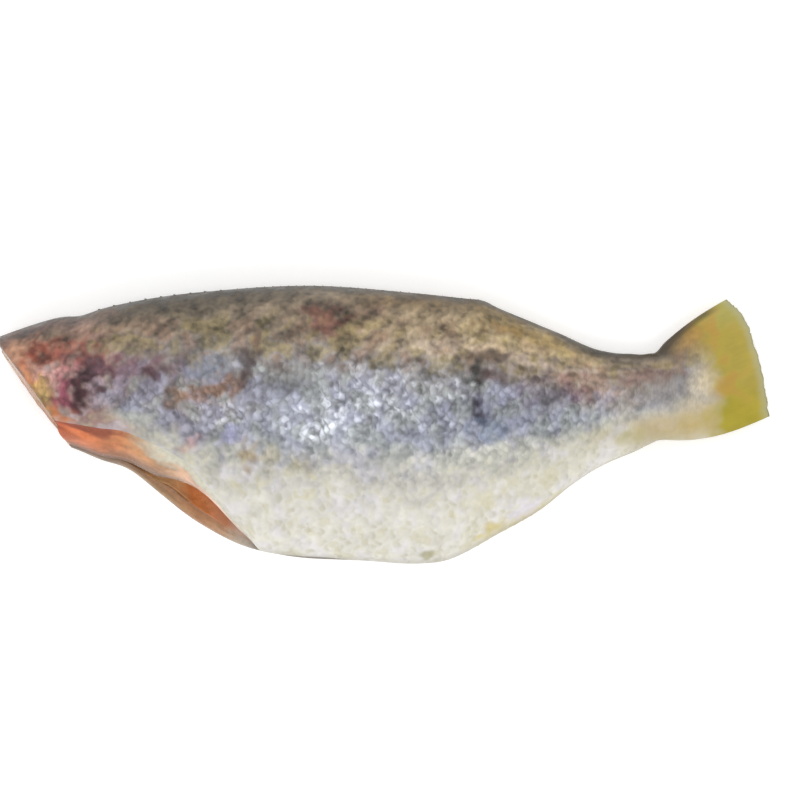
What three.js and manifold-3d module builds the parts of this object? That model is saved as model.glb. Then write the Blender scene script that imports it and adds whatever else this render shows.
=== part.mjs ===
// A raw croaker, headed, gutted and trimmed of all its fins but the tail, lying on its right side.
// Millimetres. +X runs from the head cut to the tail, +Y from the belly to the back, +Z up from the table.
// It is one solid: a lofted body, hollow from the head cut to the end of the belly slit and pressed flat
// where it lies, with the tail fin fused to it.
import * as THREE from "three";
import { LoftGeometry } from "three/addons/geometries/LoftGeometry.js";
import { mergeVertices } from "three/addons/utils/BufferGeometryUtils.js";
import Module from "manifold-3d";

const wasm = await Module();
wasm.setup();

const { clamp, degToRad, lerp, smoothstep } = THREE.MathUtils;

// Side view of the body, each row [x, y].
const BACK_LINE = [
  [-118, 25.2],
  [-106, 29.5],
  [-97, 32],
  [-90.5, 32.5],
  [-84, 34.5],
  [-70, 37.7],
  [-55, 39.7],
  [-22.5, 41.3],
  [10, 39.7],
  [24, 38],
  [34, 34.8],
  [52, 27.2],
  [64, 22.5],
  [76, 21.4],
  [82, 23.8],
  [96, 28.5],
];
const BELLY_LINE = [
  [-118, -0.5],
  [-94, -6.9],
  [-85, -10.6],
  [-77, -13.3],
  [-67, -20.8],
  [-55, -29.8],
  [-43, -35.8],
  [-28, -39.2],
  [-8, -40.4],
  [11, -41.4],
  [19, -40.2],
  [34, -32.4],
  [46, -25.3],
  [56, -17.6],
  [64, -12.7],
  [79, -6.4],
  [88, -4],
  [96, -2.8],
];

// Heights over the table, each row [x, upper flank, lower flank, edge line of the back and the belly].
// The lower flank dips under the table, where it is pressed flat.
const HEIGHTS = [
  [-118, 22, 2.6, 11.5],
  [-100, 26.5, 0.8, 12.8],
  [-80, 30.5, -0.6, 14.2],
  [-60, 33.2, -1, 15.4],
  [-30, 34.4, -1, 16],
  [0, 33, -1, 15.2],
  [20, 29.5, -0.8, 14],
  [40, 23.8, 0, 11.6],
  [60, 17.4, 1, 9.2],
  [76, 12.4, 2.6, 7.5],
  [88, 8.6, 3.4, 6],
  [96, 6.6, 3.8, 5.2],
];
const CROWN_PLACE = 0.44; // where a flank is highest, of the way from the back to the belly
const UPPER_KEENNESS = 1.12; // over 1 makes the section keener than an ellipse at the back and the belly
const LOWER_KEENNESS = 0.8; // under 1 makes it fuller

// The belly slit's edges, on the skin and on the cavity's lining, of the near (upper) and the far flap.
// Each row is [x, setback from the belly line, rise over the edge line]. Behind SLIT_END the slit goes on
// as a shut crease.
const SLIT_END = -37;
const SLIT_EDGES = {
  nearSkin: [
    [-118, 5.5, 6.5],
    [-95, 7.2, 8],
    [-84, 9.8, 8.8],
    [-75, 11.6, 9.6],
    [-64, 15.4, 10.6],
    [-58, 16, 10.4],
    [-52, 11.8, 7.6],
    [-42, 3.8, 2.4],
    [SLIT_END, 0, 0.7],
    [13, 0, 0.6],
    [96, 0, 0.3],
  ],
  nearLining: [
    [-118, 0.6, 0.8],
    [-92, 1, 1],
    [-78, 2.1, 1.4],
    [-68, 4.8, 2.8],
    [-62, 9.2, 4.2],
    [-57, 10.6, 4.4],
    [-52, 8.8, 3.6],
    [-42, 2.9, 1],
    [SLIT_END, 1.1, 0.15],
    [2, 1.1, 0.15],
    [13, 0, 0.1],
  ],
  farLining: [
    [-118, 0.8, -3.6],
    [-92, 1, -4.2],
    [-78, 1.8, -5],
    [-70, 2.6, -5.6],
    [-64, 4.8, -6.6],
    [-57, 4.4, -6.6],
    [-44, 2.9, -2.6],
    [SLIT_END, 1.1, -0.15],
    [2, 1.1, -0.15],
    [13, 0, -0.1],
  ],
  farSkin: [
    [-118, 0, -5.6],
    [-92, 0, -6.4],
    [-75, 0, -7.8],
    [-58, 0, -8.6],
    [-48, 0, -5.8],
    [SLIT_END, 0, -0.7],
    [13, 0, -0.6],
    [96, 0, -0.3],
  ],
};
const FLAP_TURN = degToRad(66); // how far a section has curved over at an open flap's edge
const FLAP_START = -62; // behind here the flaps draw together

// The belly cavity under the backbone, its roof as [x, y].
const CAVITY_ROOF = [
  [-128, 15],
  [-95, 11.5],
  [-70, 8.5],
  [-55, 2],
  [-46, -12],
  [SLIT_END, -33],
];
const NEAR_WALL = 9.5; // from the upper flank down to the cavity
const FAR_WALL = 4.6; // from the lower flank up to it
const CAVITY_SHUT = 0.06; // its height at the slit's end, of its height where it is open
const CAVITY_OVERRUN = 14; // the cutting solid goes this far out through the slit
const RIM_BITE = 0.15; // and cuts this far into the slit's rims

// The head cut: it passes two points of the side view at a height, and leans towards the upper flank.
const HEAD_CUT_BACK = [-115, 21.6];
const HEAD_CUT_BELLY = [-94.1, -7];
const HEAD_CUT_HEIGHT = 4;
const HEAD_CUT_LEAN = degToRad(5);
const NAPE_END = -115; // the point of the nape is nipped off square here

// The ridges left where the fins along the back and behind the vent were trimmed off.
const BACK_FIN = { from: -90, to: 28, height: 0.9, ramp: 7 };
const VENT_FIN = { from: 24, to: 51, height: 0.7, ramp: 4 };

// The tail fin: rays fan out from roots inside the tail stalk, listed from the upper lobe to the lower.
const TAIL = {
  rays: 15,
  roots: [[77, 18.5], [82, 16], [84, 8], [83, 0], [79, -4.6]],
  tips: [[101.9, 37.4], [106.6, 32], [109.9, 22.8], [112.6, 12.5], [115, 2.4]],
  bows: [1.5, 0.5, 0, -0.7, -2.8], // how far each ray bows upwards halfway
  rootHeight: 7.2,
  tipHeights: [5.6, 4.2, 3.4, 2.8, 2.4],
  rootThickness: 4.2,
  tipThickness: 1.3,
  rayRelief: 0.28,
  edgeBand: 0.08, // of the way across, where the fin thins out
  edgeThickness: 0.35, // of the thickness elsewhere
};

const BODY_START = -118;
const BODY_END = 96;
const STATION_PITCH = 3.5;
const QUARTER_STEPS = 8;
const TAIL_STEPS = 7;
const STEPS_PER_RAY = 4;
const BLOCK_SIZE = 400;

const SKIN = new THREE.MeshStandardMaterial({ color: 0xb4b1a8, roughness: 0.35, metalness: 0.1 });

// A smooth line through rows of [x, value, ...], as a function of x that gives the values.
function curve(rows) {
  const xs = rows.map((row) => row[0]);
  const values = rows.flatMap((row) => row.slice(1));
  const width = values.length / xs.length;
  const spline = new THREE.CubicInterpolant(xs, values, width, new Float32Array(width));
  return (x) => [...spline.evaluate(clamp(x, xs[0], xs[xs.length - 1]))];
}

const back = curve(BACK_LINE);
const belly = curve(BELLY_LINE);
const heights = curve(HEIGHTS);
const cavityRoof = curve(CAVITY_ROOF);
const slitEdges = Object.fromEntries(Object.entries(SLIT_EDGES).map(([name, rows]) => [name, curve(rows)]));

// Height of a trimmed fin's ridge at x, ramped at both ends.
function finRidge(x, { from, to, height, ramp }) {
  return height * smoothstep(x, from, from + ramp) * (1 - smoothstep(x, to - ramp, to));
}

// A corner of the belly slit at x, as [y, z].
function slitCorner(name, x) {
  const [setback, rise] = slitEdges[name](x);
  const [keel] = belly(x);
  const [, , edge] = heights(x);
  return [keel + Math.max(0, setback), edge + rise];
}

// Points from a section's crown to its edge, both [y, z], while it curves over through an angle.
function quarter([yCrown, zCrown], [yEdge, zEdge], turn, keenness) {
  return Array.from({ length: QUARTER_STEPS + 1 }, (_, step) => {
    const angle = (turn * step) / QUARTER_STEPS;
    const across = Math.sin(angle) / Math.sin(turn);
    const down = (1 - Math.cos(angle) ** keenness) / (1 - Math.cos(turn) ** keenness);
    return [lerp(yCrown, yEdge, across), lerp(zCrown, zEdge, down)];
  });
}

const section = (x, points) => points.map(([y, z]) => new THREE.Vector3(x, y, z));

// The body at x: from the back over the upper flank, across the slit, and back along the lower flank.
function bodySection(x) {
  const [upper, lower, edge] = heights(x);
  const [backY] = back(x);
  const [bellyY] = belly(x);
  const backFin = finRidge(x, BACK_FIN);
  const ventFin = finRidge(x, VENT_FIN);
  const crownY = lerp(backY, bellyY, CROWN_PLACE);
  const backEdge = [backY - backFin, edge];
  const [nearY, nearZ] = slitCorner("nearSkin", x);
  const [farY, farZ] = slitCorner("farSkin", x);
  const turn = lerp(FLAP_TURN, Math.PI / 2, smoothstep(x, FLAP_START, SLIT_END));
  return section(x, [
    [backY, edge],
    ...quarter([crownY, upper], backEdge, Math.PI / 2, UPPER_KEENNESS).reverse().slice(1),
    ...quarter([crownY, upper], [nearY + ventFin, nearZ], turn, UPPER_KEENNESS).slice(1),
    slitCorner("nearLining", x),
    slitCorner("farLining", x),
    ...quarter([crownY, lower], [farY + ventFin, farZ], turn, LOWER_KEENNESS).reverse(),
    ...quarter([crownY, lower], backEdge, Math.PI / 2, LOWER_KEENNESS).slice(1, -1),
  ]);
}

// The cavity at x, run out through the slit so that it cuts the slit open.
function cavitySection(x) {
  const [upper, lower, edge] = heights(x);
  const [roofY] = cavityRoof(x);
  const [nearY, nearZ] = slitCorner("nearLining", x);
  const [farY, farZ] = slitCorner("farLining", x);
  const open = lerp(1, CAVITY_SHUT, smoothstep(x, FLAP_START, SLIT_END));
  const crownY = (roofY + nearY) / 2;
  const ceiling = [crownY, lerp(edge, upper - NEAR_WALL, open)];
  const floor = [crownY, lerp(edge, lower + FAR_WALL, open)];
  const near = [nearY, nearZ + RIM_BITE];
  const far = [farY, farZ - RIM_BITE];
  return section(x, [
    ...quarter(ceiling, [roofY, edge], Math.PI / 2, 1).reverse(),
    ...quarter(ceiling, near, FLAP_TURN, 1).slice(1),
    [near[0] - CAVITY_OVERRUN, near[1]],
    [far[0] - CAVITY_OVERRUN, far[1]],
    ...quarter(floor, far, FLAP_TURN, 1).reverse(),
    ...quarter(floor, [roofY, edge], Math.PI / 2, 1).slice(1, -1),
  ]);
}

// The stations of a loft, on one grid of x that has a station at the slit's end.
function stations(from, to) {
  const first = Math.round((from - SLIT_END) / STATION_PITCH);
  const last = Math.round((to - SLIT_END) / STATION_PITCH);
  return Array.from({ length: last - first + 1 }, (_, i) => SLIT_END + (first + i) * STATION_PITCH);
}

// The tail fin a share of the way out: its ridged upper face, then its lower face back again.
function tailSection(out) {
  const spread = (values) => curve(values.map((value, i) => [i / (values.length - 1), value].flat()));
  const [root, tip, bow, tipHeight] = [TAIL.roots, TAIL.tips, TAIL.bows, TAIL.tipHeights].map(spread);
  const upper = [];
  const lower = [];
  const steps = (TAIL.rays - 1) * STEPS_PER_RAY;
  for (let i = 0; i <= steps; i += 1) {
    const t = i / steps;
    const [x, y] = [0, 1].map((axis) => lerp(root(t)[axis], tip(t)[axis], out));
    const z = lerp(TAIL.rootHeight, tipHeight(t)[0], out);
    const ray = TAIL.rayRelief * Math.cos((2 * Math.PI * i) / STEPS_PER_RAY) * Math.min(1, 2 * out);
    const inside = Math.sin((Math.PI / 2) * Math.min(1, t / TAIL.edgeBand, (1 - t) / TAIL.edgeBand));
    const full = lerp(TAIL.rootThickness, TAIL.tipThickness, out) / 2 + ray;
    const half = full * lerp(TAIL.edgeThickness, 1, inside);
    const rise = bow(t)[0] * Math.sin(Math.PI * out);
    upper.push(new THREE.Vector3(x, y + rise, z + half));
    lower.unshift(new THREE.Vector3(x, y + rise, z - half));
  }
  return [...upper, ...lower];
}

// A solid of manifold-3d from a closed geometry.
function solidOf(geometry) {
  const bare = new THREE.BufferGeometry();
  bare.setAttribute("position", geometry.getAttribute("position"));
  bare.setIndex(geometry.getIndex());
  const merged = mergeVertices(bare, 1e-4);
  return new wasm.Manifold(new wasm.Mesh({
    numProp: 3,
    vertProperties: merged.getAttribute("position").array,
    triVerts: new Uint32Array(merged.getIndex().array),
  }));
}

function loft(sections) {
  return solidOf(new LoftGeometry(sections, { capStart: true, capEnd: true }));
}

// A large block that stands on a point and reaches out along a direction.
function blockBeyond(point, direction) {
  const block = new THREE.BoxGeometry(BLOCK_SIZE, BLOCK_SIZE, BLOCK_SIZE);
  block.translate(0, 0, BLOCK_SIZE / 2);
  block.applyQuaternion(new THREE.Quaternion().setFromUnitVectors(new THREE.Vector3(0, 0, 1), direction));
  block.translate(point.x, point.y, point.z);
  return solidOf(block);
}

function headCut() {
  const down = new THREE.Vector2(...HEAD_CUT_BELLY).sub(new THREE.Vector2(...HEAD_CUT_BACK)).normalize();
  const level = Math.cos(HEAD_CUT_LEAN);
  const outwards = new THREE.Vector3(down.y * level, -down.x * level, Math.sin(HEAD_CUT_LEAN));
  return blockBeyond(new THREE.Vector3(...HEAD_CUT_BACK, HEAD_CUT_HEIGHT), outwards);
}

function fish() {
  const body = loft(stations(BODY_START, BODY_END).map(bodySection));
  const tail = loft(Array.from({ length: TAIL_STEPS + 1 }, (_, step) => tailSection(step / TAIL_STEPS)));
  const cavityEnds = [CAVITY_ROOF[0][0], CAVITY_ROOF[CAVITY_ROOF.length - 1][0]];
  const cavity = loft(stations(...cavityEnds).map(cavitySection));
  const nape = blockBeyond(new THREE.Vector3(NAPE_END, 0, 0), new THREE.Vector3(-1, 0, 0));
  const table = blockBeyond(new THREE.Vector3(0, 0, 0), new THREE.Vector3(0, 0, -1));
  return body.add(tail).subtract(cavity).subtract(headCut()).subtract(nape).subtract(table);
}

// A three.js mesh of a manifold-3d solid.
function meshOf(solid, name, material) {
  const { vertProperties, triVerts } = solid.getMesh();
  const geometry = new THREE.BufferGeometry();
  geometry.setAttribute("position", new THREE.BufferAttribute(vertProperties, 3));
  geometry.setIndex(new THREE.BufferAttribute(triVerts, 1));
  geometry.computeVertexNormals();
  const mesh = new THREE.Mesh(geometry, material);
  mesh.name = name;
  return mesh;
}

const part = new THREE.Group();
part.add(meshOf(fish(), "fish", SKIN));

export default part;
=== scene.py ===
"""A raw croaker, headed, gutted and trimmed of all its fins but the tail, lying on its right side.

The body is shaped in millimetres: +X runs from the head cut to the tail, +Y from the belly to the back and
+Z up from the table. One closed skin runs from the slit's rims over both flanks and out into the tail fin,
and the cavity's lining and the head cut's flesh close it.
"""

import math
import random
from bisect import bisect_right
from itertools import accumulate

import bmesh
import bpy
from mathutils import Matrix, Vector, noise


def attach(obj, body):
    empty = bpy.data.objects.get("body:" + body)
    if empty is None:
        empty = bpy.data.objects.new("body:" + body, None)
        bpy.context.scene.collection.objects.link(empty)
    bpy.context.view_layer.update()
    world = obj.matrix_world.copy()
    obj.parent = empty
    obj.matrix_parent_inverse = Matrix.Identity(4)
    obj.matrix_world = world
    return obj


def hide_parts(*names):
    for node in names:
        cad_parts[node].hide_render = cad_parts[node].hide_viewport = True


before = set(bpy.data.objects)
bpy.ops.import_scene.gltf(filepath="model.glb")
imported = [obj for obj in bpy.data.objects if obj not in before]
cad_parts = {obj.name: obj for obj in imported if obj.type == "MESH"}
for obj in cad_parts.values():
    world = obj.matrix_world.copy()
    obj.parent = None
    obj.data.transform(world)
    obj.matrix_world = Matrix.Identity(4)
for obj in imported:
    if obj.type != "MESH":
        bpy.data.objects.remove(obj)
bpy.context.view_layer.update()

MM = 0.001

# Side view of the body, each row (x, y).
BACK_LINE = [
    (-118, 25.2), (-106, 29.5), (-97, 32), (-90.5, 32.5), (-84, 34.5), (-70, 37.4), (-55, 39.3),
    (-22.5, 41.2), (10, 38.9), (23, 37.5), (29, 36.8), (34.5, 34.4), (52, 27.2), (64, 22.2), (76, 21.5),
    (82, 23.8), (96, 28.5),
]
BELLY_LINE = [
    (-118, -0.5), (-94, -6.9), (-85, -10.6), (-77, -13.3), (-67, -21), (-60.5, -26.2), (-55, -29.9),
    (-43, -35.9), (-28, -39.2), (-8, -40.4), (11, -41.4), (19, -40.2), (34, -32.4), (46, -25.6),
    (56, -17.8), (64, -12.7), (78, -7), (88, -4), (96, -2.8),
]

# Heights over the table: (x, upper flank, lower flank, edge line of the back and the belly).
HEIGHTS = [
    (-118, 22, 2.6, 11.5), (-100, 26.5, 0.8, 12.8), (-80, 30.5, -0.6, 14.2), (-60, 33.2, -1, 15.4),
    (-30, 34.4, -1, 16), (0, 33, -1, 15.2), (20, 29.5, -0.8, 14), (40, 23.8, 0, 11.6),
    (60, 17.4, 1, 9.2), (76, 12.4, 2.6, 7.5), (88, 8.6, 3.4, 6), (96, 6.6, 3.8, 5.2),
]
CROWN_PLACE = 0.44  # where a flank is highest, of the way from the back to the belly
UPPER_KEENNESS = 1.12  # over 1 makes the section keener than an ellipse at the back and the belly
LOWER_KEENNESS = 0.8  # under 1 makes it fuller
ROW_CLOSENESS = 0.3  # how much closer the rows lie by a flank's crown than even ones

# The belly slit's edges: (x, setback from the belly line, rise over the edge line).
SLIT_END = -37
NEAR_SKIN = [
    (-118, 5.5, 6.5), (-95, 7.2, 8), (-84, 9.8, 8.8), (-75, 11.6, 9.6), (-64, 15.4, 10.6),
    (-58, 16, 10.4), (-52, 12.2, 7.6), (-42, 4.5, 2.4), (SLIT_END, 0, 0.7), (13, 0, 0.6), (96, 0, 0.3),
]
NEAR_LINING = [
    (-118, 0.6, 0.8), (-92, 1, 1), (-78, 2.1, 1.4), (-68, 5, 2.8), (-62, 8.6, 4.2), (-57, 10.2, 4.4),
    (-52, 9.4, 3.6), (-42, 3.6, 1), (SLIT_END, 1.1, 0), (2, 1.1, 0), (13, 0.3, 0), (96, 0.2, 0),
]
FAR_LINING = [
    (-118, 0.8, -3.6), (-92, 1, -4.2), (-78, 1.8, -5), (-70, 2.6, -5.6), (-64, 4.8, -6.6),
    (-57, 4.4, -6.6), (-44, 2.9, -2.6), (SLIT_END, 1.1, 0), (2, 1.1, 0), (13, 0.3, 0), (96, 0.2, 0),
]
FAR_SKIN = [
    (-118, 0, -5.6), (-92, 0, -6.4), (-75, 0, -7.8), (-58, 0, -8.6), (-48, 0, -5.8),
    (SLIT_END, 0, -0.7), (13, 0, -0.6), (96, 0, -0.3),
]
FLAP_TURN = math.radians(66)  # how far a section has curved over at an open flap's edge
FLAP_START = -62  # behind here the flaps draw together
RIM_SWELL = 1.0  # how far the slit's rims bulge
RIM_WIDTH = 8  # where they are at least so wide

# The cavity under the backbone.
CAVITY_ROOF = [(-128, 15), (-95, 11.5), (-70, 8.5), (-55, 2), (-46, -12), (SLIT_END, -33)]
NEAR_WALL = 9.5
FAR_WALL = 4.6
CAVITY_SHUT = 0.06
FLAP_FILL = 0.85  # how far the flesh of the near flap flattens the cavity's curve under it
RIB_PITCH = 4.4  # between the ribs that show through the lining
RIB_LEAN = 0.35  # towards the head, for each millimetre towards the back
RIB_RISE = 0.3
FOLD_RISE = 0.5

# The head cut, which lies between CUT_INSIDE and CUT_OUTSIDE.
HEAD_CUT_BACK = Vector((-115, 21.6))
HEAD_CUT_BELLY = Vector((-94.1, -7))
HEAD_CUT_HEIGHT = 4
HEAD_CUT_LEAN = math.radians(5)
NAPE_END = -115
CUT_INSIDE = -60.0
CUT_OUTSIDE = -130.0
CUT_DOWN = (HEAD_CUT_BELLY - HEAD_CUT_BACK).normalized()
CUT_POINT = Vector((*HEAD_CUT_BACK, HEAD_CUT_HEIGHT))
CUT_OUTWARDS = Vector((
    CUT_DOWN.y * math.cos(HEAD_CUT_LEAN),
    -CUT_DOWN.x * math.cos(HEAD_CUT_LEAN),
    math.sin(HEAD_CUT_LEAN),
))
MUSCLE_BAND = 3.2  # from one band of muscle to the next

# The tail fin, listed from the upper lobe to the lower: (share, x, y), and (share, value).
FIN_ROOTS = [(0, 77, 18.5), (0.25, 82, 16), (0.5, 84, 8), (0.75, 83, 0), (1, 79, -4.6)]
FIN_TIPS = [(0, 101.9, 37.4), (0.25, 107.1, 32.2), (0.5, 110.7, 23), (0.75, 113.4, 12.6), (1, 115, 2.4)]
FIN_BOWS = [(0, 1.5), (0.25, 0.5), (0.5, 0), (0.75, -0.7), (1, -2.8)]
FIN_TIP_HEIGHTS = [(0, 5.6), (0.25, 4.2), (0.5, 3.4), (0.75, 2.8), (1, 2.4)]
FIN_LENGTH = 30
FIN_ROOT_HEIGHT = 7.2
FIN_ROOT_THICKNESS = 4.2
FIN_TIP_THICKNESS = 0.7
FIN_THIN_OUT = 0.8  # of the way out, where it is as thin as its tip
FIN_ROUND_OUT = 0.93  # from here out the trailing edge is rounded off
FIN_EDGE_BAND = 0.05  # of the way across, where the fin thins out
FIN_EDGE_LEFT = 0.12  # of its thickness, at that edge
FIN_RAYS = 17
FIN_RAY_RELIEF = 0.08
FIN_FORKS = (0.4, 0.75)  # where on the way out the rays fork
FIN_WAVE = 0.3  # how far the fin waves up and down
FIN_FRAYS = [(0.35, 31, 2.5), (0.175, 83, 7.5)]  # its trailing edge: (depth, how fine, where in the noise)
FIN_START_OUT = -0.3
FIN_BLEND_START = 72  # the body's section turns into the fin's between these
FIN_BLEND_END = 97
FIN_BLEND_SHARE = 0.5  # of the fin's columns, over which x passes between them
FIN_TURN_SHARE = 0.45  # of the fin's columns, after which the section is all fin
SHEATH_REACH = 0.44  # how far out on the fin its scaly sheath reaches at the lobes
SHEATH_SWELL = 0.14  # and how much farther between them

# The grid of the skin: columns along the body, rows around it.
OPEN_COLUMNS = 112
SHUT_COLUMNS = 170
CREASE_COLUMNS = 78  # of the shut ones, those with the slit's crease
FIN_COLUMNS = 64
RIM_ROWS = 6
BELLY_ROWS = 88
BACK_ROWS = 68
HALVED = 2  # the lower flank has one row for so many of the upper
CUT_COLUMNS = 9
LINING_ROWS = 62

# Scales.
LATERAL_LINE = [(-118, 0.30), (-80, 0.34), (-30, 0.40), (30, 0.47), (76, 0.5), (96, 0.5)]
SCALE_PITCH = [(-118, 3.3), (-60, 3.7), (0, 3.7), (40, 3.2), (76, 2.3), (96, 1.9)]
SCALE_REACH = 0.75  # of a scale's half width to its pitch
SCALE_SLOPE = 0.62  # of its pitch, over which a scale rises to its free edge
SCALE_RELIEF = 0.028  # of a scale's pitch
SCALE_MARGIN = 1.6  # the scales stop so far from a cut
UNEVENNESS = [(0.22, 13), (0.1, 4.5)]  # of the flesh under them: (height, breadth)

# What is left of the trimmed fins, and of the backbone in the head cut. A kind of ray is (radii, pitch).
FIN_BASE = (-86, 30)  # from where to where the back fin stood
FIN_BASE_RISE = 0.15
FIN_BASE_BREADTH = 2.4
FIN_BASE_ENDS = (6, 2)  # the rise runs out over these
STUB_RISE = 0.02
SPINES = ((0.5, 0.65), 4.4)
SPINES_END = -46
BACK_RAYS = ((0.28, 0.36), 2.6)
VENT_FIN_BASE = (24, 51)
VENT_RAYS = ((0.35, 0.5), 2.6)
BONE_CENTRE = (17, 12.6)
BONE_RADIUS = 3.0
CANAL_STEP = 4.1  # from the vertebra's middle to that of the canal over it

# Each point keeps three values of each kind for the finishes. Those of body_map are how deep or how far round
# it lies, whether it is on the upper flank, and how far out on the tail fin or in from the skin.
MAPS = ("scale_rows", "body_map", "wash_tint", "mark_tint", "patch_covers")


def lerp(start, end, share):
    return start + (end - start) * share


def smooth(value, start, end):
    """Rises smoothly from 0 at start to 1 at end."""
    share = min(max((value - start) / (end - start), 0), 1)
    return share * share * (3 - 2 * share)


def fade(value, start, end):
    """Falls smoothly from 1 at start to 0 at end."""
    return smooth(-value, -end, -start)


def curve(rows):
    """A smooth line through rows of (place, value, ...), as a function of the place."""
    places = [row[0] for row in rows]
    secants = [
        [(q - p) / (after[0] - before[0]) for p, q in zip(before[1:], after[1:])]
        for before, after in zip(rows, rows[1:])
    ]
    pairs = zip([secants[0], *secants], [*secants, secants[-1]])
    slopes = [[(p + q) / 2 for p, q in zip(*pair)] for pair in pairs]

    def at(place):
        place = min(max(place, places[0]), places[-1])
        i = min(bisect_right(places, place), len(places) - 1) - 1
        gap = places[i + 1] - places[i]
        f = (place - places[i]) / gap
        start = (1 + 2 * f) * (1 - f) ** 2
        leave = f * (1 - f) ** 2 * gap
        end = f * f * (3 - 2 * f)
        arrive = f * f * (f - 1) * gap
        return [
            start * p + leave * m + end * q + arrive * n
            for p, m, q, n in zip(rows[i][1:], slopes[i], rows[i + 1][1:], slopes[i + 1])
        ]

    return at


back_at = curve(BACK_LINE)
belly_at = curve(BELLY_LINE)
heights_at = curve(HEIGHTS)
roof_at = curve(CAVITY_ROOF)
near_skin_at = curve(NEAR_SKIN)
near_lining_at = curve(NEAR_LINING)
far_lining_at = curve(FAR_LINING)
far_skin_at = curve(FAR_SKIN)
fin_root_at = curve(FIN_ROOTS)
fin_tip_at = curve(FIN_TIPS)
fin_bow_at = curve(FIN_BOWS)
fin_tip_height_at = curve(FIN_TIP_HEIGHTS)
lateral_line_at = curve(LATERAL_LINE)
scale_pitch_at = curve(SCALE_PITCH)


# ---- The body's sections ----

# A section is a ring of six stretches: the near rim, the upper flank to its crown and on to the back,
# the lower flank from the back to its crown and on to the slit, and the far rim.
NEAR_RIM, UPPER_BELLY, UPPER_BACK, LOWER_BACK, LOWER_BELLY, FAR_RIM = range(6)
RING_STOPS = list(accumulate(
    [RIM_ROWS, BELLY_ROWS, BACK_ROWS, BACK_ROWS // HALVED, BELLY_ROWS // HALVED, RIM_ROWS]))
RING_ROWS = RING_STOPS[FAR_RIM]
BACK_ROW = RING_STOPS[UPPER_BACK]
FAR_SKIN_ROW = RING_STOPS[LOWER_BELLY]


def slit_corner(edge_at, x):
    setback, rise = edge_at(x)
    return belly_at(x)[0] + max(0, setback), heights_at(x)[2] + rise


def rim_point(x, first_at, last_at, share):
    """A point (y, z) on the straight line between two of the slit's edges."""
    first = slit_corner(first_at, x)
    last = slit_corner(last_at, x)
    return lerp(first[0], last[0], share), lerp(first[1], last[1], share)


def quarter_point(crown, edge, turn, keenness, share):
    """A point of a section between its crown and its edge, both (y, z)."""
    angle = turn * ((1 - ROW_CLOSENESS) * share + ROW_CLOSENESS * share * share)
    across = math.sin(angle) / math.sin(turn)
    down = (1 - math.cos(angle) ** keenness) / (1 - math.cos(turn) ** keenness)
    return lerp(crown[0], edge[0], across), lerp(crown[1], edge[1], down)


def stretch_of(row):
    """The stretch of the ring that a row is on, and how far along it."""
    index = min(bisect_right(RING_STOPS, row), len(RING_STOPS) - 1)
    start = RING_STOPS[index - 1] if index else 0
    return index, (row - start) / (RING_STOPS[index] - start)


def ring_point(x, row):
    """A point (y, z) of the section at x, on a row of the ring."""
    index, share = stretch_of(row)
    upper, lower, edge = heights_at(x)
    if index == NEAR_RIM:
        return rim_point(x, near_lining_at, near_skin_at, share)
    if index == FAR_RIM:
        return rim_point(x, far_skin_at, far_lining_at, share)
    back_y = back_at(x)[0]
    crown_y = lerp(back_y, belly_at(x)[0], CROWN_PLACE)
    turn = lerp(FLAP_TURN, math.pi / 2, smooth(x, FLAP_START, SLIT_END))
    if index == UPPER_BELLY:
        return quarter_point((crown_y, upper), slit_corner(near_skin_at, x), turn, UPPER_KEENNESS, 1 - share)
    if index == UPPER_BACK:
        return quarter_point((crown_y, upper), (back_y, edge), math.pi / 2, UPPER_KEENNESS, share)
    if index == LOWER_BACK:
        return quarter_point((crown_y, lower), (back_y, edge), math.pi / 2, LOWER_KEENNESS, 1 - share)
    return quarter_point((crown_y, lower), slit_corner(far_skin_at, x), turn, LOWER_KEENNESS, share)


def lining_point(x, row):
    """A point (y, z) of the cavity's section at x: from the near rim over ceiling, roof and floor."""
    upper, lower, edge = heights_at(x)
    roof_y = roof_at(x)[0]
    near = slit_corner(near_lining_at, x)
    far = slit_corner(far_lining_at, x)
    opening = lerp(1, CAVITY_SHUT, smooth(x, FLAP_START, SLIT_END))
    crown_y = (roof_y + near[0]) / 2
    ceiling = (crown_y, lerp(edge, upper - NEAR_WALL, opening))
    floor = (crown_y, lerp(edge, lower + FAR_WALL, opening))
    quarter, share = divmod(4 * row / LINING_ROWS, 1)
    if quarter == 0:
        y, z = quarter_point(ceiling, near, FLAP_TURN, 1, 1 - share)
        straight = lerp(near[1], ceiling[1], (y - near[0]) / (ceiling[0] - near[0]))
        return y, lerp(z, straight, FLAP_FILL)
    if quarter == 1:
        return quarter_point(ceiling, (roof_y, edge), math.pi / 2, 1, share)
    if quarter == 2:
        return quarter_point(floor, (roof_y, edge), math.pi / 2, 1, 1 - share)
    return quarter_point(floor, far, FLAP_TURN, 1, share if quarter == 3 else 1)


def cut_place(section, row):
    """Where along x a row of a section meets the head cut, which is nipped off square at the nape."""
    inside, outside = CUT_INSIDE, CUT_OUTSIDE
    for _ in range(30):
        middle = (inside + outside) / 2
        point = Vector((middle, *section(middle, row)))
        if (point - CUT_POINT).dot(CUT_OUTWARDS) > 0:
            outside = middle
        else:
            inside = middle
    return max(inside, NAPE_END)


def fin_place(row, last=False):
    """Where on the fin a row of the ring comes out: the share from the upper lobe down, and the side."""
    index, share = stretch_of(row)
    if index == NEAR_RIM:
        return 1, 0 if last else share
    if index == FAR_RIM:
        return 1, 0 if last else share - 1
    if index in (UPPER_BELLY, UPPER_BACK):
        place = BACK_ROW - row
        if last:
            place = HALVED * round(place / HALVED)
        return place / (BELLY_ROWS + BACK_ROWS), 1
    return HALVED * (row - BACK_ROW) / (BELLY_ROWS + BACK_ROWS), -1


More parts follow.
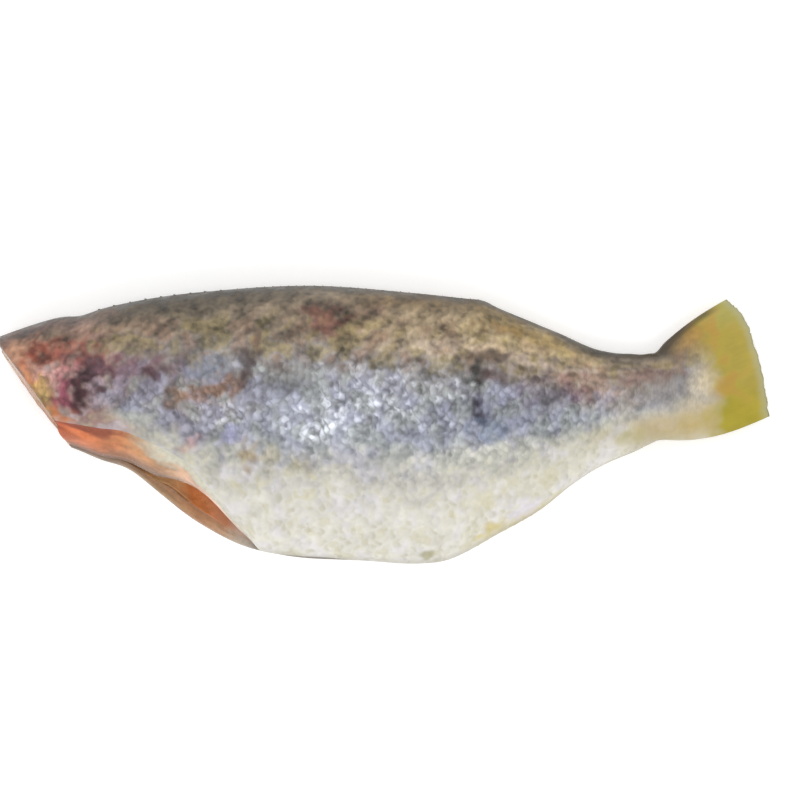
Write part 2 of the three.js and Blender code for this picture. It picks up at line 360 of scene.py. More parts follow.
def fin_point(out, share, side):
    """A point of the tail fin: how far out, how far from the upper lobe to the lower, and on which side."""
    root, tip = fin_root_at(share), fin_tip_at(share)
    fray = sum(
        depth * noise.noise(Vector((share * fineness, spot, 0))) for depth, fineness, spot in FIN_FRAYS)
    reach = out * (1 + fray / FIN_LENGTH) if out > 0 else out
    x, y = lerp(root[0], tip[0], reach), lerp(root[1], tip[1], reach)
    y += fin_bow_at(share)[0] * math.sin(math.pi * min(max(out, 0), 1))
    z = lerp(FIN_ROOT_HEIGHT, fin_tip_height_at(share)[0], out)
    edge = min(1, share / FIN_EDGE_BAND, (1 - share) / FIN_EDGE_BAND)
    full = lerp(FIN_ROOT_THICKNESS, FIN_TIP_THICKNESS, smooth(out, FIN_START_OUT, FIN_THIN_OUT)) / 2
    half = full * math.sin(math.pi / 2 * lerp(FIN_EDGE_LEFT, 1, edge))
    if share == 0:
        half = 0
    half *= math.sqrt(max(0, 1 - max(0, (out - FIN_ROUND_OUT) / (1 - FIN_ROUND_OUT)) ** 2))
    return Vector((x, y, z + side * half))


def fin_ray(out, share):
    """The height of the fin's rays, 0 to 1: each forks halfway out."""
    whole = 0.5 + 0.5 * math.cos(2 * math.pi * FIN_RAYS * share)
    forked = 0.5 + 0.5 * math.cos(4 * math.pi * FIN_RAYS * share)
    return lerp(whole, 0.75 * forked + 0.25 * whole, smooth(out, *FIN_FORKS))


def skin_columns():
    """For each column of the skin, how far out on the fin it lies, and its points by row."""
    starts = [cut_place(ring_point, row) for row in range(RING_ROWS + 1)]
    columns = []
    for column in range(OPEN_COLUMNS + SHUT_COLUMNS + 1):
        if column <= OPEN_COLUMNS:
            xs = [lerp(start, SLIT_END, column / OPEN_COLUMNS) for start in starts]
        else:
            share = (column - OPEN_COLUMNS) / SHUT_COLUMNS
            xs = [lerp(SLIT_END, FIN_BLEND_START, share)] * (RING_ROWS + 1)
        columns.append((None, [Vector((x, *ring_point(x, row))) for row, x in enumerate(xs)]))
    for column in range(1, FIN_COLUMNS + 1):
        share = column / FIN_COLUMNS
        out = lerp(FIN_START_OUT, 1, share)
        x = lerp(FIN_BLEND_START, FIN_BLEND_END, min(1, share / FIN_BLEND_SHARE))
        turned = smooth(share, 0, FIN_TURN_SHARE)
        points = []
        for row in range(RING_ROWS + 1):
            across, side = fin_place(row, last=column == FIN_COLUMNS)
            point = fin_point(out, across, side)
            if turned < 1:
                point = Vector((x, *ring_point(x, row))).lerp(point, turned)
            points.append(point)
        columns.append((out, points))
    return columns


# ---- Scales ----


def scale_rise(along, across):
    """How far a point has risen towards the free edge of the scale that it lies on, 0 to 1."""
    first = math.ceil(2 * (along - SCALE_REACH))
    for column in (first, first + 1):
        offset = across - (column % 2) / 2
        offset -= round(offset)
        margin = column / 2 + math.sqrt(SCALE_REACH ** 2 - offset ** 2)
        if margin >= along:
            return max(0, 1 - (margin - along) / SCALE_SLOPE)
    return 0


def scale_places():
    """The scale rows' places along x: a function that counts scales from the nape on."""
    step = 1.0
    counts = [(-118.0, 0.0)]
    while counts[-1][0] < 118:
        x, count = counts[-1]
        counts.append((x + step, count + step / scale_pitch_at(x + step / 2)[0]))
    return curve(counts)


def scale_row_count(points):
    """How many scale rows each point of a column lies above its flank's lateral line."""
    pitch = scale_pitch_at(points[BACK_ROW].x)[0]
    counts = [0.0] * len(points)
    for first, last, direction in ((RIM_ROWS, BACK_ROW, 1), (FAR_SKIN_ROW, BACK_ROW + 1, -1)):
        rows = range(first, last + direction, direction)
        line_y = lerp(points[last].y, points[first].y, lateral_line_at(points[first].x)[0])
        arc = 0.0
        line_arc = None
        for before, row in zip(rows, rows[1:]):
            step = points[row] - points[before]
            arc += math.hypot(step.y, step.z)
            counts[row] = arc / pitch
            if line_arc is None and points[row].y >= line_y:
                line_arc = arc
        for row in rows:
            counts[row] -= line_arc / pitch
    return counts


def scale_cover(points, column, row, out):
    """How much of the scales shows at a point: none at a cut, on the fin or at the ridge of the back."""
    point = points[row]
    cover = smooth((point - points[BACK_ROW]).length, 0.4, SCALE_MARGIN)
    edge = points[RIM_ROWS] if row <= BACK_ROW else points[FAR_SKIN_ROW]
    cover *= smooth((point - edge).length, 0.2, SCALE_MARGIN)
    cover *= smooth(column, 0, 3)
    if out is not None:
        across, _ = fin_place(row)
        sheath = SHEATH_REACH + SHEATH_SWELL * math.sin(math.pi * across) - SHEATH_SWELL * 0.4 * across
        sheath += 0.04 * noise.noise(Vector((across * 14, 0, 5)))
        cover *= 1 - smooth(out, sheath - 0.16, sheath + 0.08)
    return cover


# ---- The body's mesh ----

SKIN, RIMS, LINING, HEAD_CUT = range(4)  # its finishes


def add_sheet(bm, columns, rows, place, map_corner, map_size, finish):
    """Adds a sheet with its own rectangle of the map: place(vertex, column, row) shapes it."""
    sheet = bmesh.ops.create_grid(bm, x_segments=columns, y_segments=rows, size=1)
    spots = {vertex: ((vertex.co.x + 1) / 2, (vertex.co.y + 1) / 2) for vertex in sheet["verts"]}
    for vertex, (across, up) in spots.items():
        place(vertex, round(across * columns), round(up * rows))
    uv = bm.loops.layers.uv["OFBake"]
    faces = {face for vertex in spots for face in vertex.link_faces}
    for face in faces:
        face.material_index = finish
        for loop in face.loops:
            across, up = spots[loop.vert]
            loop[uv].uv = (map_corner[0] + map_size[0] * across, map_corner[1] + map_size[1] * up)
    return faces, spots


def depth_of(point, points, out):
    """How deep a point lies under its column's back line: 1 at the belly's edge."""
    edges = [points[RIM_ROWS].y, points[FAR_SKIN_ROW].y]
    if out is None:
        edges.append(belly_at(point.x)[0])
    back_y = points[BACK_ROW].y
    return (back_y - point.y) / max(0.1, back_y - min(edges))


def flesh_relief(point, back, depth, cover, along, across):
    """The scales, the uneven flesh under them, and the low ridge that the back fin stood on."""
    height = SCALE_RELIEF * (1 - 0.6 * smooth(depth, 0.55, 0.8)) * scale_pitch_at(point.x)[0]
    relief = cover * height * (scale_rise(along, across) - 0.5)
    for swell, breadth in UNEVENNESS:
        relief += swell * smooth(cover, 0, 1) * noise.noise(point / breadth)
    base = smooth(point.x, FIN_BASE[0] - FIN_BASE_ENDS[0], FIN_BASE[0])
    base *= fade(point.x, FIN_BASE[1], FIN_BASE[1] + FIN_BASE_ENDS[1])
    return relief + FIN_BASE_RISE * base * fade((point - back).length, 0, FIN_BASE_BREADTH)


def rim_relief(point, width, share):
    """How far the slit's rims bulge."""
    swell = RIM_SWELL * min(1, width / RIM_WIDTH) * math.sin(math.pi * share)
    return swell * (1 + 0.5 * noise.noise(point / 6))


def fin_relief(point, row, out):
    """The tail fin's rays and its slight waves, which die out towards its edges."""
    across, _ = fin_place(row)
    away = math.sin(math.pi * min(1, 8 * min(across, 1 - across)) / 2)
    strength = smooth(out, 0.05, 0.4) * away * smooth(1 - out, 0, 0.06)
    rays = FIN_RAY_RELIEF * strength * (fin_ray(out, across) - 0.5)
    return rays + FIN_WAVE * smooth(out, 0.3, 1) * away * noise.noise(Vector((point.x, point.y, 0)) / 9)


def add_skin(bm, layers, columns):
    """Both flanks, the tail fin and the slit's rims. Behind the crease the rims are skin too."""
    counts = [scale_row_count(points) for _, points in columns]
    scales_before = scale_places()
    crease_end = OPEN_COLUMNS + CREASE_COLUMNS

    def place_skin(vertex, column, row):
        out, points = columns[column]
        point = points[row]
        index, share = stretch_of(row)
        upper = row <= BACK_ROW
        on_rim = index in (NEAR_RIM, FAR_RIM)
        depth = depth_of(point, points, out)
        along, across = scales_before(point.x)[0], counts[column][row]
        cover = 0.0 if on_rim else scale_cover(points, column, row, out)
        relief = flesh_relief(point, points[BACK_ROW], depth, cover, along, across)
        reach = 0.0 if out is None else max(0, out)
        if on_rim and column <= crease_end:
            reach = 1 - share if index == NEAR_RIM else share
            inner, outer = (0, RIM_ROWS) if index == NEAR_RIM else (RING_ROWS, FAR_SKIN_ROW)
            relief += rim_relief(point, (points[outer] - points[inner]).length, share)
        else:
            tints = patches_at(point, upper)
            for name, tint in zip(("wash_tint", "mark_tint", "patch_covers"), tints):
                vertex[layers[name]] = tint
        if out is not None and not on_rim:
            relief += fin_relief(point, row, out)
        vertex.co = point
        vertex[layers["scale_rows"]] = (along, across, cover)
        vertex[layers["body_map"]] = (depth, float(upper), reach)
        vertex[layers["relief"]] = relief * smooth(point.z, 0.0, 1.2)

    last = len(columns) - 1
    faces, spots = add_sheet(bm, last, RING_ROWS, place_skin, (0.005, 0.215), (0.99, 0.78), SKIN)
    for face in faces:
        column = min(round(spots[vertex][0] * last) for vertex in face.verts)
        row = min(round(spots[vertex][1] * RING_ROWS) for vertex in face.verts)
        if column <= crease_end and not RIM_ROWS <= row < FAR_SKIN_ROW:
            face.material_index = RIMS


def lining_places(columns):
    """The lining's points, as a function of column and row. Its edges are the rims' own."""
    starts = [cut_place(lining_point, row) for row in range(LINING_ROWS + 1)]

    def at(column, row):
        if row == 0 or column == OPEN_COLUMNS:
            return columns[column][1][0].copy()
        if row == LINING_ROWS:
            return columns[column][1][RING_ROWS].copy()
        x = lerp(starts[row], SLIT_END, column / OPEN_COLUMNS)
        return Vector((x, *lining_point(x, row)))

    return at


def add_lining(bm, layers, lining_at):
    """The cavity's lining, with its ribs and folds."""

    def place_lining(vertex, column, row):
        vertex.co = lining_at(column, row)
        side = row / LINING_ROWS
        vertex[layers["body_map"]] = (side, float(side < 0.5), 1.0)
        away = smooth(min(side, 1 - side), 0, 0.2)
        away *= smooth(column, 0, 8) * smooth(OPEN_COLUMNS - column, 0, 20)
        rib = 0.5 + 0.5 * math.cos(2 * math.pi * (vertex.co.x + RIB_LEAN * vertex.co.y) / RIB_PITCH)
        flank = math.sin(2 * math.pi * side) ** 2
        fold = 0.5 + 0.5 * noise.noise(vertex.co / 6)
        vertex[layers["relief"]] = away * (RIB_RISE * flank * rib + FOLD_RISE * fold)

    add_sheet(bm, OPEN_COLUMNS, LINING_ROWS, place_lining, (0.005, 0.005), (0.45, 0.195), LINING)


def add_head_cut(bm, layers, skin_edge, lining_at):
    """The flesh in the head cut, from the skin's edge in to the lining's, with its bands of muscle."""

    def lining_between(row):
        low = min(int(row), LINING_ROWS - 1)
        return lining_at(0, low).lerp(lining_at(0, low + 1), row - low)

    def place_cut(vertex, column, row):
        upper = row <= BACK_ROW
        ring = 0.5 * row / BACK_ROW if upper else 0.5 + 0.5 * (row - BACK_ROW) / (RING_ROWS - BACK_ROW)
        outer = skin_edge[row]
        inner_row = ring * LINING_ROWS
        inner = lining_at(0, round(inner_row)) if column == CUT_COLUMNS else lining_between(inner_row)
        share = column / CUT_COLUMNS
        vertex.co = outer.lerp(inner, share)
        vertex[layers["body_map"]] = (ring, float(upper), share)
        width = (outer - inner).length
        band = math.sin(2 * math.pi * (share * width / MUSCLE_BAND + 0.3 * noise.noise(vertex.co / 5)))
        height = 0.35 + 0.16 * band + 0.3 * noise.noise(vertex.co / 3)
        vertex[layers["relief"]] = math.sin(math.pi * share) * height * min(1, width / 5)

    add_sheet(bm, CUT_COLUMNS, RING_ROWS, place_cut, (0.47, 0.005), (0.2, 0.195), HEAD_CUT)


def fish_body():
    """The whole fish as one closed mesh, with where each point lies on it kept for the finishes."""
    bm = bmesh.new()
    bm.loops.layers.uv.new("OFBake")
    layers = {name: bm.verts.layers.float_vector.new(name) for name in MAPS}
    layers["relief"] = bm.verts.layers.float.new("relief")
    columns = skin_columns()
    lining_at = lining_places(columns)
    add_skin(bm, layers, columns)
    add_lining(bm, layers, lining_at)
    add_head_cut(bm, layers, columns[0][1], lining_at)

    bmesh.ops.remove_doubles(bm, verts=bm.verts, dist=1e-4)
    bmesh.ops.recalc_face_normals(bm, faces=bm.faces)
    bm.normal_update()
    lifts = [(vertex, vertex.normal * vertex[layers["relief"]]) for vertex in bm.verts]
    for vertex, lift in lifts:
        vertex.co += lift
        vertex.co.z = max(vertex.co.z, 0)
    bm.verts.layers.float.remove(bm.verts.layers.float["relief"])
    for face in bm.faces:
        face.smooth = True
    for edge in bm.edges:
        kinds = {face.material_index for face in edge.link_faces}
        edge.smooth = len(kinds) == 1 or HEAD_CUT not in kinds
    finished_piece(bm, "fish_body", [fish_skin(), slit_rims(), cavity_lining(), head_cut_flesh()])


def in_scene(name, data, place=(0, 0, 0)):
    """A new object in the scene."""
    made = bpy.data.objects.new(name, data)
    made.location = place
    bpy.context.scene.collection.objects.link(made)
    return made


def meshed(bm, name, finishes):
    """A mesh as an object with its finishes."""
    mesh = bpy.data.meshes.new(name)
    bm.to_mesh(mesh)
    bm.free()
    for finish in finishes:
        mesh.materials.append(finish)
    return in_scene(name, mesh)


def finished_piece(bm, name, finishes):
    """A mesh in millimetres as a piece in metres that stands for the fish."""
    bmesh.ops.scale(bm, vec=(MM, MM, MM), verts=bm.verts)
    piece = meshed(bm, name, finishes)
    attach(piece, "root")
    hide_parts("fish")


# ---- The trimmed fins and the backbone ----


def stub(bm, root, lean, radius, rise):
    """A cut fin ray: a short taper whose root is sunk in the skin."""
    depth = 4 * radius
    made = bmesh.ops.create_cone(
        bm, cap_ends=True, segments=8, radius1=radius * 1.3, radius2=radius, depth=depth)
    bmesh.ops.rotate(bm, verts=made["verts"], matrix=lean.to_track_quat("Z", "Y").to_matrix())
    bmesh.ops.translate(bm, verts=made["verts"], vec=root + lean * (rise - depth / 2))


def trimmed_fin(seed, start, end, lean, edge_at, ray_at):
    """A fin's row of cut rays: edge_at(x) is the y that they stand at, and ray_at(x) the kind of ray."""
    draw = random.Random(seed)
    bm = bmesh.new()
    x = start
    while x < end:
        radii, pitch = ray_at(x)
        root = Vector((x, edge_at(x), heights_at(x)[2] + draw.uniform(-0.3, 0.3)))
        along = Vector((*lean, draw.uniform(-0.2, 0.2))).normalized()
        radius = draw.uniform(*radii)
        stub(bm, root, along, radius, STUB_RISE * draw.uniform(0.5, 1.5))
        x += pitch * draw.uniform(0.85, 1.15)
    return bm


def back_fin_stumps():
    """The back fin's spines and soft rays, trimmed off at the skin."""
    bm = trimmed_fin(
        11, FIN_BASE[0] + 1, FIN_BASE[1] - 1, (0.3, 1),
        edge_at=lambda x: back_at(x)[0] + FIN_BASE_RISE,
        ray_at=lambda x: SPINES if x < SPINES_END else BACK_RAYS,
    )
    finished_piece(bm, "back_fin_stumps", [ray_stumps("back_fin_rays", (98, 88, 74))])


def vent_fin_stumps():
    """The fin behind the vent, trimmed off at the skin."""
    bm = trimmed_fin(
        5, VENT_FIN_BASE[0] + 1, VENT_FIN_BASE[1], (0.75, -1),
        edge_at=lambda x: belly_at(x)[0],
        ray_at=lambda x: VENT_RAYS,
    )
    finished_piece(bm, "vent_fin_stumps", [ray_stumps("vent_fin_rays", (186, 174, 140))])


def turned_shape(bm, profile, place, kind):
    """A closed round shape on the head cut: profile is (radius, height) from the middle of its face back."""
    layer = bm.verts.layers.float_vector["bone_map"]
    before = set(bm.verts)
    verts = [bm.verts.new((radius, 0, height)) for radius, height in profile]
    edges = [bm.edges.new(pair) for pair in zip(verts, verts[1:])]
    bmesh.ops.spin(bm, geom=verts + edges, axis=(0, 0, 1), angle=2 * math.pi, steps=24, use_merge=True)
    made = [vertex for vertex in bm.verts if vertex not in before]
    bmesh.ops.remove_doubles(bm, verts=made, dist=1e-4)
    made = [vertex for vertex in bm.verts if vertex not in before]
    for vertex in made:
        vertex[layer] = (math.hypot(vertex.co.x, vertex.co.y) / profile[-2][0], kind, 0)
    bmesh.ops.rotate(bm, verts=made, matrix=CUT_OUTWARDS.to_track_quat("Z", "Y").to_matrix())
    bmesh.ops.translate(bm, verts=made, vec=place)


def on_head_cut(y, z):
    """The point of the head cut at y and z."""
    away = CUT_OUTWARDS.y * (y - CUT_POINT.y) + CUT_OUTWARDS.z * (z - CUT_POINT.z)
    return Vector((CUT_POINT.x - away / CUT_OUTWARDS.x, y, z))


def backbone_end():
    """The cut vertebra, hollow faced, with the canal over it."""
    bm = bmesh.new()
    bm.verts.layers.float_vector.new("bone_map")
    centre = on_head_cut(*BONE_CENTRE)
    r = BONE_RADIUS
    vertebra = [
        (0, -0.3), (0.3 * r, -0.2), (0.6 * r, 0.1), (0.8 * r, 0.38),
        (0.92 * r, 0.44), (r, 0.3), (r, -3), (0, -3),
    ]
    turned_shape(bm, vertebra, centre, 0)
    canal = [(0, 0), (0.5, 0.05), (0.7, 0.3), (0.95, 0.4), (1.2, 0.3), (1.25, -2), (0, -2)]
    turned_shape(bm, canal, centre - Vector((*CUT_DOWN, 0)) * CANAL_STEP, 1)
    bmesh.ops.recalc_face_normals(bm, faces=bm.faces)
    for face in bm.faces:
        face.smooth = True
    finished_piece(bm, "backbone_end", [cut_bone()])


# ---- Finishes ----


def colour(red, green, blue):
    """A colour given as seen on a screen, 0 to 255, as the shader takes it."""
    parts = [part / 255 for part in (red, green, blue)]
    return (*[p / 12.92 if p <= 0.04045 else ((p + 0.055) / 1.055) ** 2.4 for p in parts], 1.0)


class Finish:
    """A material under construction: each call adds a node and gives back its output."""

    def __init__(self, name):
        self.material = bpy.data.materials.new(name)
        self.material.use_nodes = True
        self.tree = self.material.node_tree
        self.surface = self.tree.nodes["Principled BSDF"]

    def node(self, kind, inputs=(), **settings):
        made = self.tree.nodes.new(kind)
        for name, value in settings.items():
            setattr(made, name, value)
        for socket, value in dict(inputs).items():
            self.put(made.inputs[socket], value)
        return made

    def put(self, socket, value):
        if isinstance(value, bpy.types.NodeSocket):
            self.tree.links.new(value, socket)
        else:
            socket.default_value = value

    def math(self, operation, *values, clamp=False):
        return self.node("ShaderNodeMath", enumerate(values), operation=operation, use_clamp=clamp).outputs[0]

    def plus(self, first, second):
        return self.math("ADD", first, second)

    def minus(self, first, second):
        return self.math("SUBTRACT", first, second)

    def product(self, *values):
        result = values[0]
        for value in values[1:]:
            result = self.math("MULTIPLY", result, value)
        return result

    def line(self, value, slope, start):
        """A value times a slope, from a start."""
        return self.math("MULTIPLY_ADD", value, slope, start)

    def between(self, first, second, share):
        return self.plus(first, self.product(self.minus(second, first), share))

    def rise(self, value, start, end, low=0.0, high=1.0):
        """Runs smoothly from low at start to high at end."""
        inputs = {"Value": value, "From Min": start, "From Max": end, "To Min": low, "To Max": high}
        made = self.node("ShaderNodeMapRange", inputs, interpolation_type="SMOOTHSTEP")
        return made.outputs["Result"]

    def span(self, value, start, end):
        """Runs evenly from 0 at start to 1 at end."""
        inputs = {"Value": value, "From Min": start, "From Max": end}
        return self.node("ShaderNodeMapRange", inputs).outputs["Result"]

    def wave(self, count):
        """Runs from 1 at each whole count to -1 halfway between."""
        return self.math("COSINE", self.product(count, 2 * math.pi))

    def vector(self, operation, *values):
        made = self.node("ShaderNodeVectorMath", enumerate(values), operation=operation)
        return made.outputs["Value" if operation == "LENGTH" else "Vector"]

    def joined(self, *values):
        return self.node("ShaderNodeCombineXYZ", enumerate(values)).outputs[0]

    def parts(self, vector):
        return self.node("ShaderNodeSeparateXYZ", {0: vector}).outputs

    def millimetres(self):
        place = self.node("ShaderNodeTexCoord").outputs["Object"]
        return self.node("ShaderNodeVectorMath", {0: place, "Scale": 1 / MM}, operation="SCALE").outputs[0]

    def turned(self, place, turn, reach):
        """Places measured along an axis turned by degrees, in steps of a reach each way."""
        inputs = {"Vector": place, "Rotation": (0, 0, math.radians(turn)), "Scale": reach}
        return self.node("ShaderNodeMapping", inputs, vector_type="TEXTURE").outputs[0]

    def attribute(self, name):
        """The three values that each point of the mesh keeps under a name."""
        return self.parts(self.node("ShaderNodeAttribute", attribute_name=name).outputs["Vector"])

    def noise(self, vector, scale, detail=2.0):
        inputs = {"Vector": vector, "Scale": scale, "Detail": detail}
        return self.node("ShaderNodeTexNoise", inputs).outputs["Fac"]

    def mottle(self, vector, scale, detail=1.0, spread=0.16):
        """Soft patches that run from -1 to 1."""
        return self.rise(self.noise(vector, scale, detail), 0.5 - spread, 0.5 + spread, -1.0, 1.0)

    def stray(self, value, coarse, reach):
        """A value that a noise takes up to half a reach either way."""
        return self.line(self.minus(coarse, 0.5), reach, value)

    def mix(self, share, first, second, blend="MIX"):
        inputs = {0: share, 6: first, 7: second}
        return self.node("ShaderNodeMix", inputs, data_type="RGBA", blend_type=blend).outputs[2]

    def tinted(self, shade, cover, strength, tint):
        """A colour with a tint over it where the cover is 1, as strong as the strength."""
        return self.mix(self.product(cover, strength), shade, colour(*tint))

    def dim(self, shade, value):
        """A colour times a value."""
        return self.mix(1.0, shade, self.joined(value, value, value), "MULTIPLY")

    def mottled(self, shade, patches, strength):
        """A colour made lighter and darker by patches that run from -1 to 1."""
        return self.dim(shade, self.line(patches, strength, 1.0))

    def patched(self, shade, cover, name):
        """A colour under the patches whose tints an attribute holds."""
        tint = self.node("ShaderNodeAttribute", attribute_name=name).outputs["Color"]
        return self.mix(1.0, self.dim(shade, self.minus(1.0, cover)), tint, "ADD")

    def ramp(self, share, stops):
        """A run of colours: stops are (place, (red, green, blue))."""
        made = self.node("ShaderNodeValToRGB", {"Fac": share})
        elements = made.color_ramp.elements
        for _ in stops[2:]:
            elements.new(0.5)
        for element, (place, _) in zip(elements, stops):
            element.position = place
        for element, (_, shade) in zip(elements, stops):
            element.color = colour(*shade)
        return made.outputs["Color"]

    def bump(self, height, distance):
        return self.node("ShaderNodeBump", {"Height": height, "Distance": distance}).outputs["Normal"]

    def finish(self, shade, roughness, normal, **constants):
        self.put(self.surface.inputs["Base Color"], shade)
        self.put(self.surface.inputs["Roughness"], roughness)
        self.put(self.surface.inputs["Normal"], normal)
        for name, value in constants.items():
            self.surface.inputs[name.replace("_", " ")].default_value = value
        return self.material


# ---- Patches of colour on the skin ----

# Countershading from the back to the belly: grey olive, brown, slate, silver, cream.
COUNTERSHADING = [
    (0.04, (112, 100, 84)), (0.18, (132, 116, 98)), (0.29, (138, 136, 138)), (0.42, (144, 146, 154)),
    (0.56, (152, 156, 163)), (0.68, (188, 185, 177)), (0.8, (214, 211, 201)), (0.94, (224, 221, 211)),
]

# Broad washes over it on both flanks: (x, y, reach along x and along y, turn in degrees, colour, strength).
WASHES = [
    (-72, 36.5, 52, 6, 6, (58, 48, 32), 0.85),  # darker back behind the nape
    (-52, 27, 26, 12, 0, (112, 104, 92), 0.5),
    (-12, 31, 16, 7, 0, (102, 88, 76), 0.7),
    (-12, 39.5, 12, 3, 0, (130, 120, 106), 0.5),
    (-56, 8, 20, 14, 0, (124, 114, 116), 0.75),  # dusky flank over the cavity
    (-74, 18, 15, 9, 0, (112, 92, 90), 0.75),
    (-84, -0.5, 13, 5, -14, (166, 132, 126), 0.8),
    (-90, 12, 13, 26, 0, (138, 102, 94), 0.8),  # rosy brown shoulder
    (-109, 12, 15, 28, 0, (162, 118, 98), 0.95),
    (-108, 28.5, 26, 4.5, 17, (74, 60, 56), 0.9),
    # the next wash is partly the flank's own silver and partly a painted highlight where its crown faces the
    # light
    (-20, 2, 20, 10, 0, (160, 164, 174), 0.5),  # brightest silver
    (30, 5, 24, 7, -8, (116, 118, 130), 0.75),  # slate behind the middle
    (16, 12, 14, 5, -4, (168, 166, 168), 0.4),
    (20, 27, 28, 9, -6, (174, 154, 124), 0.75),  # olive tan back towards the tail
    (46, 22, 30, 8, -26, (170, 152, 116), 0.85),
    (10, 37.5, 30, 4, -3, (110, 90, 60), 0.8),  # its darker upper edge
    (36, 31, 14, 4, -24, (116, 98, 64), 0.8),
    (74, 22.5, 16, 3, 2, (52, 42, 28), 0.95),
    (54, 12, 24, 6, -10, (142, 122, 118), 0.6),
    (34, -10, 30, 6, 4, (206, 204, 194), 0.7),  # paler flank behind the vent
    (-20, -22, 18, 7, 0, (224, 222, 216), 0.35),
    (45, -18, 32, 10, 30, (214, 210, 184), 0.3),  # yellower belly behind the vent
    (76, 12, 15, 10, 0, (160, 146, 134), 0.7),  # tail stalk
    (83, 10, 12, 6.5, 0, (136, 130, 126), 0.8),
    (80, -3.5, 18, 5, 4, (178, 166, 126), 0.8),
    (84, 0, 12, 4.5, 0, (188, 168, 128), 0.75),
    (92, 27.5, 9, 4, 38, (172, 138, 76), 0.9),  # tail fin's root
    (96, 13.5, 6.5, 8.5, 0, (214, 198, 168), 0.9),
    (94, 1, 11, 7, 0, (186, 164, 104), 0.9),
    (90, 6, 8, 3, 0, (200, 188, 164), 0.6),
]

# Marks on the upper flank, in rows like those.
MARKS = [
    (-108.5, 21.5, 5, 5, 0, (172, 132, 104), 0.7),  # bruised shoulder
    (-98.5, 21, 10, 5, 5, (140, 82, 66), 0.95),
    (-102.6, 19.4, 4.2, 3.4, 5, (108, 50, 34), 0.9),
    (-86.5, 18.6, 8, 4.6, -8, (116, 60, 54), 0.9),
    (-93.4, 16.8, 3.4, 2.6, 0, (178, 116, 116), 0.75),
    (-99.5, 13.8, 7, 3.6, -5, (196, 150, 142), 0.9),
    (-105.4, 12.5, 3, 5, 30, (184, 116, 70), 0.7),
    (-100.6, 8, 4.6, 6.4, 35, (174, 144, 86), 0.85),
    (-95, 8.2, 4.2, 6.4, 0, (138, 70, 86), 0.95),
    # this row and the next: dark purple brown painted shadow at the base of the trimmed pectoral fin
    (-86, 15.2, 6.4, 4, 15, (52, 30, 36), 1),
    (-90.6, 9.4, 3.6, 5.6, -12, (64, 34, 40), 1),
    (-96.5, 1.4, 4.6, 3.2, -20, (196, 116, 56), 0.8),
    (-77, 17, 11, 4, 8, (108, 76, 84), 0.65),  # dark streak along the flank behind it
    (-65, 16.6, 7, 3.4, 10, (88, 56, 66), 0.8),
    (-51, 15.6, 10, 4.4, 8, (116, 122, 138), 0.7),
    (-61, 8.2, 5.5, 3.6, 10, (126, 98, 80), 0.8),
    (-53, 9.8, 7, 3.4, 14, (136, 104, 82), 0.85),
    (-45, 12.4, 5.5, 4.2, 30, (112, 86, 72), 0.85),
    (-40.6, 18.6, 2.6, 8.5, -6, (64, 48, 48), 0.8),
    (-38.6, 24.4, 2.4, 4.6, -10, (92, 66, 52), 0.6),
    (-17.6, 31, 8, 4.8, 0, (112, 72, 62), 0.8),
    (-3, 34, 4, 3, 0, (112, 84, 78), 0.5),
    (-28, 12, 9, 3.4, 0, (108, 112, 108), 0.4),
    (-40.4, -8.2, 3.2, 4.4, 0, (146, 124, 84), 0.65),  # stains over the slit
    (-34, -8.6, 2.8, 3.6, 0, (168, 156, 116), 0.4),
    (-24.9, -12, 5, 3.8, 0, (156, 146, 108), 0.5),
    (-57.3, -5.4, 4.2, 2.2, 25, (190, 140, 134), 0.45),
    (-46, -3, 3.4, 3.6, 0, (144, 144, 184), 0.6),
    (14, 24, 20, 3, -3, (184, 166, 148), 0.6),  # bands towards the tail
    (33, 28.6, 9, 1.8, -12, (112, 84, 52), 0.6),
    (46, 25.4, 15, 2.6, -21, (140, 118, 72), 0.65),
    (38, 22, 16, 2.4, -10, (184, 164, 134), 0.65),
    (48, 17.4, 14, 2.4, -8, (172, 156, 146), 0.7),
    (30, 20.2, 7.5, 1.7, -3, (66, 52, 42), 0.8),
    (26.7, 15.3, 4, 3.2, 0, (40, 42, 40), 1),
    (32, 14.6, 6, 2, -6, (88, 70, 68), 0.75),
    (28.4, 3.8, 2.6, 5.8, 12, (46, 42, 54), 1),
    (31.5, -1.5, 6, 4, 0, (112, 124, 148), 0.6),
    (53.5, 13.2, 4.2, 2.8, 0, (130, 90, 84), 0.6),
    (58, 9.6, 4, 4.4, 0, (96, 70, 80), 0.8),
    (62, 11.6, 12, 3, -4, (144, 116, 100), 0.5),
    (47, 8.6, 9, 5, 0, (112, 102, 120), 0.6),
    (78, 14.5, 12, 2.6, 8, (124, 100, 94), 0.6),
    (74, -2.8, 5.5, 2.6, 10, (176, 168, 118), 0.45),
    (31.8, -31, 5, 1.9, 35, (206, 188, 100), 0.7),  # belly behind the vent
    (41.6, -25.6, 7, 3.2, 25, (226, 220, 230), 0.7),
    (28, -22.6, 8, 4, 10, (204, 198, 164), 0.5),
    (12, -38.8, 3.6, 1.6, -10, (152, 148, 98), 0.7),
]

# Painted highlights, where the wet flank's crown catches the light: (x, y, reach along x, reach along y,
# strength).
PAINTED_HIGHLIGHTS = [(-21, -1, 11, 7, 0.95), (-12, 5, 10, 6, 0.7), (2, 9, 22, 11, 0.4), (-48, 2, 14, 6, 0.35)]

PATCH_MIDDLE = 0.2  # a patch is full up to here, as a share of its reach
PATCH_END = 1.3
PATCH_FAR = 2.5  # no part of a patch lies farther off, whatever its edge does


